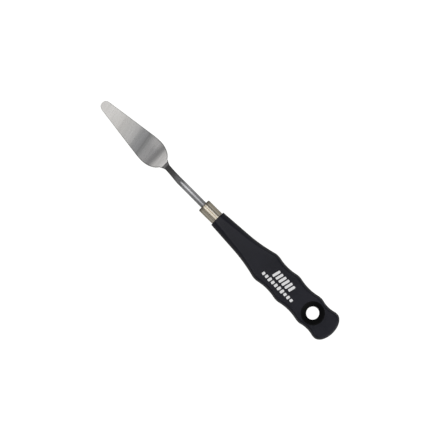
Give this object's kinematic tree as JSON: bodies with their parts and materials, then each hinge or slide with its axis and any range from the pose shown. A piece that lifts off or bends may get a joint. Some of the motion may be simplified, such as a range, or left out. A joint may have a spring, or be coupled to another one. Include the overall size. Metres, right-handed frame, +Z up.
{
  "type": "palette knife",
  "caption": "Cranked palette knife with a springy trowel-shaped blade, round shank, metal ferrule and flat scalloped plastic handle with a countersunk hanging hole.",
  "frame": {"origin": "middle of the knife's length and width, on the surface that the blade's flat underside lies on", "axes": "+X along the handle towards the blade's tip, +Z up, away from the blade's working underside, with the handle's axis 9.5 mm above it"},
  "size_m": [0.21, 0.0218, 0.0149],
  "materials": {
    "blade_steel": "satin ground",
    "shank_steel": "tumbled satin",
    "ferrule_nickel": "drawn nickel plate",
    "handle_plastic": "fine satin moulding"
  },
  "bodies": {
    "grip": {"handle": "handle_plastic", "ferrule": "ferrule_nickel", "shank": "shank_steel"},
    "leaf": {"blade": "blade_steel"}
  },
  "joints": [
    {"name": "blade_flex", "type": "hinge", "parent": "grip", "child": "leaf", "pos_m": [0.0483, -0.001, 0.0005], "axis": [0, 1, 0], "range_deg": [-20, 20], "stiffness_Nm_per_rad": 1.2}
  ]
}
